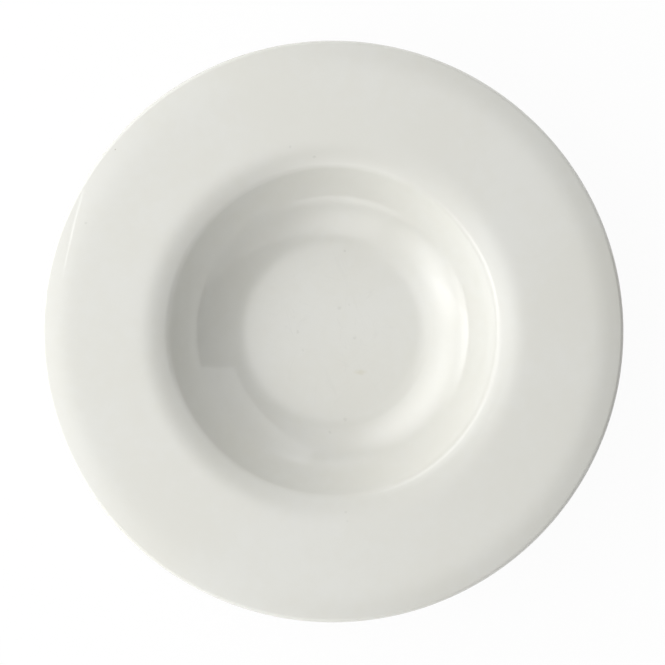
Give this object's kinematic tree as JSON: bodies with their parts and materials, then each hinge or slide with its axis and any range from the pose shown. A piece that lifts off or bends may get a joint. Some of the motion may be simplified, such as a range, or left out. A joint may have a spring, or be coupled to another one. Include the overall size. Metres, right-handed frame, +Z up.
{
  "type": "pasta bowl",
  "caption": "Round white porcelain pasta bowl: curved well, very wide and almost level rim that falls away in a narrow band at its edge, low foot ring; clear gloss glaze, dry standing face.",
  "frame": {"origin": "centre of the foot ring's standing face, on the table", "axes": "+Z up along the bowl's axis of revolution, from the foot to the rim; X and Y are any two level directions, because the bowl is round"},
  "size_m": [0.28, 0.28, 0.0465],
  "materials": {
    "biscuit_porcelain": "bare fired porcelain, ground flat, matt",
    "glaze": "glossy clear glaze over white porcelain"
  },
  "bodies": {
    "root": {"porcelain_body": "biscuit_porcelain", "glaze_coat": "glaze", "base_glaze": "glaze"}
  },
  "joints": []
}
